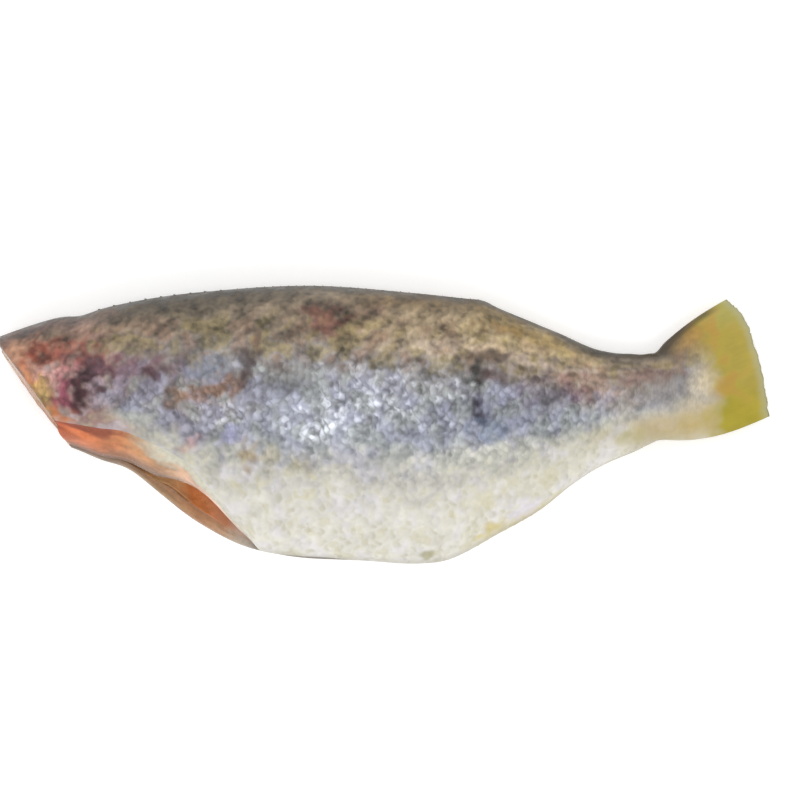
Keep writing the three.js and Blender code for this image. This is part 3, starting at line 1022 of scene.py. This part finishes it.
def layered(patches):
    """Soft patches one over the other: gives the colour that they add at a point and how much they cover."""
    made = []
    for x, y, reach_x, reach_y, turn, tint, strength in patches:
        turn = math.radians(turn)
        along = Vector((math.cos(turn), math.sin(turn))) / reach_x
        across = Vector((-math.sin(turn), math.cos(turn))) / reach_y
        far = (PATCH_FAR * max(reach_x, reach_y)) ** 2
        made.append((Vector((x, y)), far, along, across, Vector(colour(*tint)[:3]), strength))

    def at(point, warp):
        total, cover = Vector((0, 0, 0)), 0.0
        for middle, far, along, across, tint, strength in made:
            off = point.xy - middle
            if off.length_squared > far:
                continue
            distance = math.hypot(off.dot(along), off.dot(across)) + warp
            share = strength * (1 - smooth(distance, PATCH_MIDDLE, PATCH_END))
            total = total.lerp(tint, share)
            cover += (1 - cover) * share
        return total, cover

    return at


washes_at = layered(WASHES)
marks_at = layered(MARKS)
# the painted highlights' cover: where the skin's colour is lightened to a silver white highlight
painted_highlights_at = layered([(*flash[:4], 0, (255, 255, 255), flash[4]) for flash in PAINTED_HIGHLIGHTS])


def patches_at(point, upper):
    """At a point of the skin, the washes' colour, the marks', and the covers of washes, marks and painted
    highlights.
    """
    loose = 0.3 * noise.noise((point + Vector((70, 20, 0))) * 0.15)
    wash, washed = washes_at(point, loose)
    if not upper:
        return wash, Vector((0, 0, 0)), (washed, 0, 0)
    warp = noise.noise(point * 0.36) + 0.2 * noise.noise((point + Vector((30, 0, 0))) * 0.8)
    mark, marked = marks_at(point, warp)
    return wash, mark, (washed, marked, painted_highlights_at(point, warp)[1])


# ---- The skin's finish ----


class Skin(Finish):
    """The skin's finish: the patterns that its layers share, and the layers, each over the one before."""

    def __init__(self):
        super().__init__("wet_scaly_skin")
        self.place = self.millimetres()
        self.x, self.y, _ = self.parts(self.place)
        along, across, self.cover = self.attribute("scale_rows")
        self.depth, _, self.out = self.attribute("body_map")
        self.broad = self.mottle(self.place, 0.11)
        self.middling = self.mottle(self.place, 0.25)
        self.fine = self.mottle(self.place, 0.62, detail=0.4)
        self.drift = self.mottle(self.vector("ADD", self.place, (70, 20, 0)), 0.15)
        self.along = self.line(self.fine, 0.1, self.line(self.middling, 0.14, along))
        self.across = self.line(self.drift, 0.2, self.line(self.middling, 0.12, across))
        self.to_edge, offset, self.draws = self.scales()
        self.off_middle = self.vector("LENGTH", self.joined(
            self.line(self.to_edge, 3.6, -1.0), self.product(offset, 2.6)))
        # a painted glint: a soft bright spot in the middle of what shows of each scale
        self.glint = self.product(self.rise(self.off_middle, 1.3, 0.1), self.cover)
        lone = self.rise(self.off_middle, 1.5, 0.6)
        self.draw = self.product(self.minus(self.draws[0], 0.5), lone, self.cover)
        shift = self.line(self.middling, 0.012, self.product(self.broad, 0.02))
        self.shaded_depth = self.plus(self.depth, self.line(self.draw, 0.03, shift))
        self.on_back = self.rise(self.shaded_depth, 0.34, 0.24)
        self.on_belly = self.rise(self.shaded_depth, 0.6, 0.78)
        self.off_belly = self.rise(self.shaded_depth, 0.8, 0.5)
        above_belly = self.rise(self.shaded_depth, 0.8, 0.6)
        self.on_flank = self.product(self.rise(self.shaded_depth, 0.24, 0.36), above_belly)
        self.washed, self.marked, self.highlighted = self.attribute("patch_covers")

    def margin_of(self, column):
        """The free edge of the scale in a column, that scale's row, and how far off its middle."""
        shift = self.product(self.math("FLOORED_MODULO", column, 2.0), 0.5)
        offset = self.minus(self.across, shift)
        row = self.math("ROUND", offset)
        offset = self.minus(offset, row)
        reach = self.math("SQRT", self.minus(SCALE_REACH ** 2, self.math("POWER", offset, 2.0)))
        return self.plus(self.product(column, 0.5), reach), row, offset

    def scales(self):
        """Overlapping scales: the way to one's free edge, how far off its middle, and its three draws."""
        first = self.math("CEIL", self.product(self.minus(self.along, SCALE_REACH), 2.0))
        second = self.plus(first, 1.0)
        first_margin, first_row, first_offset = self.margin_of(first)
        second_margin, second_row, second_offset = self.margin_of(second)
        on_second = self.math("LESS_THAN", first_margin, self.along)
        margin = self.between(first_margin, second_margin, on_second)
        column = self.between(first, second, on_second)
        row = self.between(first_row, second_row, on_second)
        offset = self.between(first_offset, second_offset, on_second)
        draws = self.node("ShaderNodeTexWhiteNoise", {"Vector": self.joined(column, row)})
        return self.minus(margin, self.along), offset, self.parts(draws.outputs["Color"])

    def countershading(self):
        return self.patched(self.ramp(self.shaded_depth, COUNTERSHADING), self.washed, "wash_tint")

    def casts(self, shade):
        """Casts of colour, each where the drift of the mottling takes it."""
        off_tail = self.rise(self.x, 84.0, 60.0, 0.2, 1.0)
        back = self.product(self.on_back, self.rise(self.depth, 0.05, 0.16), self.rise(self.x, -104.0, -84.0))
        flank = self.product(self.on_flank, self.rise(self.x, -100.0, -78.0), off_tail)
        belly = self.product(self.on_belly, off_tail)
        patchy_belly = self.product(belly, self.rise(self.middling, -0.2, 0.9))
        for region, start, end, strength, tint in (
            (back, 0.0, 0.8, 0.45, (142, 126, 74)),  # olive
            (back, 0.0, -0.8, 0.35, (136, 100, 78)),  # red brown
            (flank, -0.1, 0.8, 0.3, (146, 148, 178)),  # lilac
            (flank, -0.1, -0.8, 0.25, (152, 160, 146)),  # green
            (belly, 0.2, 1.0, 0.3, (226, 222, 236)),  # cream
            (patchy_belly, 0.0, -0.9, 0.35, (188, 180, 138)),  # ochre
        ):
            cast = self.product(self.rise(self.drift, start, end), region)
            shade = self.tinted(shade, cast, strength, tint)
        return shade

    def belly_specks(self, shade):
        chosen = self.rise(self.draws[1], 0.25, 0.9)
        speck = self.product(self.rise(self.off_middle, 1.25, 0.2), self.cover, chosen, self.on_belly)
        return self.tinted(shade, speck, 0.4, (172, 166, 130))

    def highlights_and_marks(self, shade):
        """Painted highlights, hazy with brighter scales in them, and the marks over them."""
        haze = self.product(self.rise(self.mottle(self.place, 0.42, detail=0.4), -0.1, 1.0), 0.6)
        sparks = self.line(self.glint, self.rise(self.draws[2], 0.2, 0.8, 0.0, 0.65), haze)
        # painted highlight: a silver white laid into the colour where the wet flank catches the light
        highlight_share = self.math("MULTIPLY", sparks, self.highlighted, clamp=True)
        shade = self.mix(highlight_share, shade, colour(228, 232, 242))
        return self.patched(shade, self.marked, "mark_tint")

    def back_lines(self):
        """Streaks and rows of scales that climb the back, and lie along it towards the tail, around 1."""
        level_share = self.rise(self.line(self.broad, 3.0, self.x), 26.0, 40.0)
        climbing = self.mottle(self.turned(self.place, 38, (7.0, 3.4, 7.0)), 1.0, detail=0.5, spread=0.22)
        level = self.mottle(self.turned(self.place, -14, (12.0, 2.8, 12.0)), 1.0, detail=0.5, spread=0.22)
        streak = self.between(climbing, level, level_share)
        streak = self.product(streak, self.on_back, self.rise(self.x, -118.0, -96.0, 0.5, 1.0))
        value = self.line(streak, self.rise(self.x, 30.0, 0.0, 0.22, 0.33), 1.0)
        climbing = self.wave(self.minus(self.across, self.along))
        rows = self.between(climbing, self.wave(self.across), level_share)
        rows = self.product(rows, self.on_back, self.cover, self.rise(self.middling, -0.8, 0.8, 0.4, 1.0))
        return self.line(rows, 0.13, value)

    def lights(self, shade):
        """Each scale's painted glint, by its own measure: lighter in the middle of what shows of it and
        darker round that, most on the upper flank, over mottling of all sizes.
        """
        upper_flank = self.rise(self.shaded_depth, 0.66, 0.46, 0.25, 1.0)
        lively = self.product(self.on_flank, upper_flank, self.rise(self.x, 82.0, 52.0, 0.3, 1.0))
        # painted glint and shade: lighter at each scale's glint, darker round it
        glow = self.product(self.minus(self.glint, 0.35), self.plus(self.draws[1], 0.2))
        value = self.line(glow, self.line(lively, 0.34, 0.04), self.back_lines())
        value = self.line(self.draw, self.line(lively, 0.36, 0.06), value)
        for layer, strength in ((self.fine, 0.16), (self.middling, 0.2), (self.broad, 0.08)):
            value = self.line(layer, self.line(self.off_belly, strength * 0.8, strength * 0.2), value)
        calm = self.rise(self.x, 60.0, 86.0, 1.0, 0.55)
        value = self.line(self.minus(value, 1.0), calm, 1.0)
        return self.dim(shade, self.math("MAXIMUM", value, 0.25))

    def scale_edges(self, shade):
        edge = self.product(self.rise(self.to_edge, 0.24, 0.0), self.cover)
        return self.tinted(shade, edge, self.line(self.off_belly, 0.05, 0.02), (80, 76, 72))

    def outline(self, shade):
        """The back's dark ridge, partly painted shade; the yellow foot of the fin behind the vent; and the
        belly's keel, a grey line of painted shade.
        """
        # a dark line along the back's ridge: partly its own dark skin, partly painted shade where the back
        # turns away from the light
        ridge = self.rise(self.depth, self.rise(self.x, 42.0, 62.0, 0.03, 0.1), 0.0)
        shade = self.tinted(shade, ridge, 0.8, (56, 52, 44))
        foot = self.product(
            self.rise(self.depth, 0.945, 1.0), self.rise(self.x, 18.0, 36.0), self.rise(self.x, 62.0, 44.0))
        shade = self.tinted(shade, foot, self.rise(self.fine, -1.0, 1.0, 0.5, 0.85), (198, 184, 128))
        # a grey line of painted shade along the belly's lower edge, where it turns under
        keel = self.product(
            self.rise(self.depth, 0.975, 1.0), self.rise(self.x, -44.0, -30.0), self.rise(self.out, 0.2, 0.0))
        return self.tinted(shade, keel, 0.45, (150, 144, 132))

    def fin_shade(self):
        """The yellow fin: orange by its root and in its middle, greener low down, with a grey clear edge."""
        blotch = self.mottle(self.place, 0.16)
        shade = self.mix(self.rise(self.y, 14.0, 4.0), colour(172, 154, 62), colour(164, 150, 38))
        shade = self.tinted(shade, self.rise(self.y, 26.0, 35.0), 0.6, (168, 164, 92))
        warm = self.product(
            self.rise(blotch, -0.4, 1.0), self.rise(self.out, 1.0, 0.7), self.rise(self.y, 0.0, 12.0))
        shade = self.tinted(shade, warm, 0.55, (174, 128, 60))
        root = self.product(self.rise(self.out, 0.7, 0.3), self.rise(self.y, 18.0, 27.0))
        shade = self.tinted(shade, root, 0.7, (166, 120, 58))
        rays = self.mottle(self.turned(self.place, 22, (6.0, 1.4, 6.0)), 1.0)
        shade = self.dim(shade, self.line(rays, 0.02, self.line(blotch, 0.06, 1.0)))
        return self.tinted(shade, self.rise(self.out, 0.9, 1.0), 0.6, (176, 176, 146))

    def tail_fin(self, shade):
        """The fin's own colour from its root out, and the dark upper edge of the stalk and the lobe, partly
        painted shade.
        """
        reach = self.line(self.plus(self.middling, self.broad), 0.03, self.out)
        shade = self.mix(self.rise(reach, 0.34, 0.66), shade, self.fin_shade())
        # the dark upper edge: partly its own colour, partly painted shade where the stalk and the lobe turn
        # away from the light
        edge = self.product(
            self.rise(self.depth, 0.05, 0.01), self.rise(self.out, 0.95, 0.7), self.rise(self.x, 66.0, 76.0))
        return self.tinted(shade, edge, 0.75, (70, 58, 38))


def fish_skin():
    """Wet scaly skin: olive brown back, silvery blue flank, cream belly, and the yellow tail fin."""
    skin = Skin()
    shade = skin.countershading()
    for layer in (
        skin.casts, skin.belly_specks, skin.highlights_and_marks, skin.lights, skin.scale_edges,
        skin.outline, skin.tail_fin,
    ):
        shade = layer(shade)
    roughness = skin.rise(skin.middling, -0.8, 0.8, 0.32, 0.48)
    tilt = skin.rise(skin.to_edge, SCALE_SLOPE, 0.0)
    height = skin.product(tilt, skin.cover, skin.line(skin.off_belly, 0.6, 0.4))
    constants = {"Specular_IOR_Level": 0.35, "Coat_Weight": 0.08, "Coat_Roughness": 0.2}
    return skin.finish(shade, roughness, skin.bump(height, 0.00004), **constants)


# ---- The other finishes ----

# Along the slit from the head to the tail.
NEAR_RIM_COLOURS = [
    (0, (200, 98, 58)), (0.15, (206, 116, 72)), (0.3, (202, 128, 84)), (0.42, (190, 134, 88)),
    (0.55, (196, 154, 118)), (0.68, (214, 174, 148)), (0.8, (230, 196, 180)), (1, (190, 176, 160)),
]
FAR_RIM_COLOURS = [
    (0, (118, 96, 80)), (0.3, (148, 120, 96)), (0.45, (160, 128, 92)), (0.58, (166, 124, 86)),
    (0.68, (172, 122, 82)), (0.78, (180, 142, 110)), (0.9, (172, 158, 142)), (1, (160, 148, 134)),
]
LINING_COLOURS = [
    (0, (170, 112, 76)), (0.28, (140, 98, 68)), (0.44, (176, 136, 94)), (0.54, (250, 208, 152)),
    (0.63, (250, 202, 146)), (0.7, (224, 142, 84)), (0.86, (200, 126, 78)), (0.94, (186, 156, 136)),
]
# Down the head cut's edge, from the belly to the nape, and in its middle.
HEAD_CUT_COLOURS = [
    (0.05, (188, 104, 70)), (0.2, (196, 124, 76)), (0.35, (190, 152, 116)), (0.48, (172, 150, 88)),
    (0.62, (188, 120, 76)), (0.8, (184, 146, 112)), (0.95, (160, 140, 122)),
]
FLESH_COLOURS = [(0.35, (186, 134, 108)), (0.65, (208, 164, 136))]
# From the middle out.
VERTEBRA_COLOURS = [
    (0, (178, 112, 96)), (0.45, (206, 156, 134)), (0.75, (228, 210, 186)), (1, (206, 176, 148)),
]
CORD_COLOURS = [(0.3, (104, 30, 28)), (0.6, (150, 70, 56)), (0.85, (222, 200, 174))]


def near_rim(finish, wander, inwards, fibre):
    """The near flap's edge: brown inside the cavity's mouth, and cream and a red line by the skin."""
    shade = finish.mottled(finish.ramp(finish.span(wander, -100.0, -36.0), NEAR_RIM_COLOURS), fibre, 0.2)
    inner = finish.product(finish.rise(inwards, 0.5, 0.95), finish.rise(wander, -60.0, -68.0))
    shade = finish.tinted(shade, inner, 0.75, (122, 82, 54))
    faded = finish.line(fibre, 0.1, inwards)
    cream = finish.product(finish.rise(faded, 0.5, 0.2), finish.rise(wander, -78.0, -64.0))
    shade = finish.tinted(shade, cream, 0.9, (208, 208, 190))
    red = finish.product(finish.rise(faded, 0.3, 0.06), finish.rise(wander, -76.0, -82.0))
    return finish.tinted(shade, red, 0.75, (128, 56, 40))


def far_rim(finish, wander, inwards, fibre):
    """The far flap's edge, browner inside halfway along: its own brown and painted shade deep in the slit's
    gap.
    """
    shade = finish.ramp(finish.span(wander, -96.0, -36.0), FAR_RIM_COLOURS)
    # painted shade in part: brown deep in the slit's gap, on the flesh's own brown
    brown = finish.product(
        finish.rise(inwards, 0.3, 0.9), finish.rise(wander, -84.0, -70.0), finish.rise(wander, -42.0, -50.0))
    return finish.mottled(finish.tinted(shade, brown, 0.5, (160, 104, 62)), fibre, 0.12)


def slit_rims():
    """The cut edges of the belly's two flaps: salmon by the head, paling towards the tail."""
    finish = Finish("slit_rims")
    place = finish.millimetres()
    x, _, _ = finish.parts(place)
    _, upper, inwards = finish.attribute("body_map")
    fine = finish.noise(place, 0.7, detail=3.0)
    coarse = finish.noise(place, 0.25)
    wander = finish.stray(x, coarse, 8.0)
    fibre = finish.mottle(finish.joined(finish.product(x, 0.14), finish.product(inwards, 3.2)), 1.0)
    near = near_rim(finish, wander, inwards, fibre)
    far = far_rim(finish, wander, inwards, fibre)
    shade = finish.mix(upper, far, near)
    # painted shade: behind the slit's end the shut crease is grey, fading into the belly's colour towards the
    # vent
    shade = finish.mix(finish.rise(x, -42.0, -36.0), shade, colour(138, 130, 122))
    shade = finish.mix(finish.rise(x, -14.0, 8.0), shade, colour(196, 192, 180))
    return wet_flesh(finish, shade, fine, coarse)


def head_cut_flesh():
    """Where the head came off: tan at the nape, orange and yellow below, orange red at the belly."""
    finish = Finish("head_cut_flesh")
    place = finish.millimetres()
    _, y, _ = finish.parts(place)
    _, _, inwards = finish.attribute("body_map")
    fine = finish.noise(place, 0.7, detail=3.0)
    coarse = finish.noise(place, 0.25)
    shade = finish.ramp(finish.span(finish.stray(y, coarse, 5.0), -8.0, 24.0), HEAD_CUT_COLOURS)
    deep = finish.rise(finish.line(coarse, 0.3, inwards), 0.15, 0.5)
    shade = finish.mix(finish.product(deep, 0.8), shade, finish.ramp(coarse, FLESH_COLOURS))
    shade = finish.tinted(shade, finish.rise(inwards, 0.16, 0.0), 0.5, (150, 104, 74))
    return wet_flesh(finish, shade, fine, coarse)


def wet_flesh(finish, shade, fine, coarse):
    shade = finish.dim(shade, finish.stray(1.0, fine, 0.5))
    roughness = finish.rise(coarse, 0.3, 0.7, 0.25, 0.42)
    return finish.finish(shade, roughness, finish.bump(fine, 0.0003), Coat_Weight=0.12, Coat_Roughness=0.15)


def cavity_lining():
    """The membrane inside the belly: brown orange, with a dark line of blood under the backbone."""
    finish = Finish("cavity_lining")
    place = finish.millimetres()
    x, _, _ = finish.parts(place)
    side, _, _ = finish.attribute("body_map")
    fine = finish.noise(place, 0.6, detail=3.0)
    coarse = finish.noise(place, 0.2)
    shade = finish.ramp(finish.span(finish.stray(x, coarse, 6.0), -100.0, -40.0), LINING_COLOURS)
    shade = finish.dim(shade, finish.rise(coarse, 0.3, 0.7, 0.84, 1.12))
    roof = finish.product(finish.rise(side, 0.38, 0.47), finish.rise(side, 0.62, 0.53))
    strength = finish.line(finish.rise(x, -84.0, -97.0), -0.5, 0.8)
    shade = finish.tinted(shade, roof, strength, (92, 30, 28))
    roughness = finish.rise(fine, 0.3, 0.7, 0.25, 0.42)
    return finish.finish(shade, roughness, finish.bump(fine, 0.0003), Coat_Weight=0.25, Coat_Roughness=0.15)


def ray_stumps(name, tint):
    """The cut rays of a fin."""
    finish = Finish(name)
    fine = finish.mottle(finish.millimetres(), 0.9)
    return finish.finish(finish.mottled(colour(*tint), fine, 0.3), 0.4, finish.bump(fine, 0.0001))


def cut_bone():
    """Bone round a clear pinkish middle, with the dark red cord in the canal."""
    finish = Finish("cut_bone")
    from_middle, canal, _ = finish.attribute("bone_map")
    fine = finish.mottle(finish.millimetres(), 0.9)
    vertebra = finish.ramp(from_middle, VERTEBRA_COLOURS)
    cord = finish.ramp(from_middle, CORD_COLOURS)
    shade = finish.mottled(finish.mix(canal, vertebra, cord), fine, 0.08)
    return finish.finish(shade, 0.35, finish.bump(fine, 0.00015), Coat_Weight=0.2, Coat_Roughness=0.15)


# ---- Stage ----

IMAGE_PIXELS = 800
PIXEL_MM = 230 / 771
IMAGE_CENTRE = (4.33, 7.31)  # the point of the fish's plan in the middle of the image, in millimetres
MID_HEIGHT = 12
CAMERA_DISTANCE = 1.8
SENSOR = 36
FLOOR_REACH = 3
WHITE = (1, 1, 1, 1)


def camera():
    data = bpy.data.cameras.new("camera")
    data.sensor_width = SENSOR
    data.lens = SENSOR * CAMERA_DISTANCE / (IMAGE_PIXELS * PIXEL_MM * MM)
    data.clip_end = 10
    place = (IMAGE_CENTRE[0] * MM, IMAGE_CENTRE[1] * MM, MID_HEIGHT * MM + CAMERA_DISTANCE)
    bpy.context.scene.camera = in_scene("camera", data, place)


def softbox(name, place, size, power):
    """A round light turned to the fish's middle."""
    data = bpy.data.lights.new(name, "AREA")
    data.shape = "DISK"
    data.size = size
    data.energy = power
    lamp = in_scene(name, data, place)
    way = Vector((0, 0, MID_HEIGHT * MM)) - Vector(place)
    lamp.rotation_euler = way.to_track_quat("-Z", "Y").to_euler()
    lamp.visible_camera = False


def stage():
    finish = Finish("pale_floor")
    floor_looks = {
        "Base Color": (0.96, 0.96, 0.96, 1), "Roughness": 0.9, "Specular IOR Level": 0.2,
        "Emission Color": WHITE, "Emission Strength": 0.25,
    }
    for name, value in floor_looks.items():
        finish.surface.inputs[name].default_value = value
    bm = bmesh.new()
    bmesh.ops.create_grid(bm, x_segments=1, y_segments=1, size=FLOOR_REACH)
    floor = meshed(bm, "floor", [finish.material])
    world = bpy.data.worlds.new("studio")
    world.use_nodes = True
    world.node_tree.nodes["Background"].inputs["Color"].default_value = WHITE
    world.node_tree.nodes["Background"].inputs["Strength"].default_value = 0.78
    bpy.context.scene.world = world
    softbox("back_softbox", (-0.35, 0.75, 1.1), size=0.7, power=3)
    softbox("front_softbox", (0.3, -0.6, 1.0), size=0.6, power=2)
    softbox("glint_softbox", (-0.04, -0.03, 1.2), size=0.2, power=1)
    bpy.context.scene.view_settings.view_transform = "Standard"


camera()
stage()
fish_body()
back_fin_stumps()
vent_fin_stumps()
backbone_end()
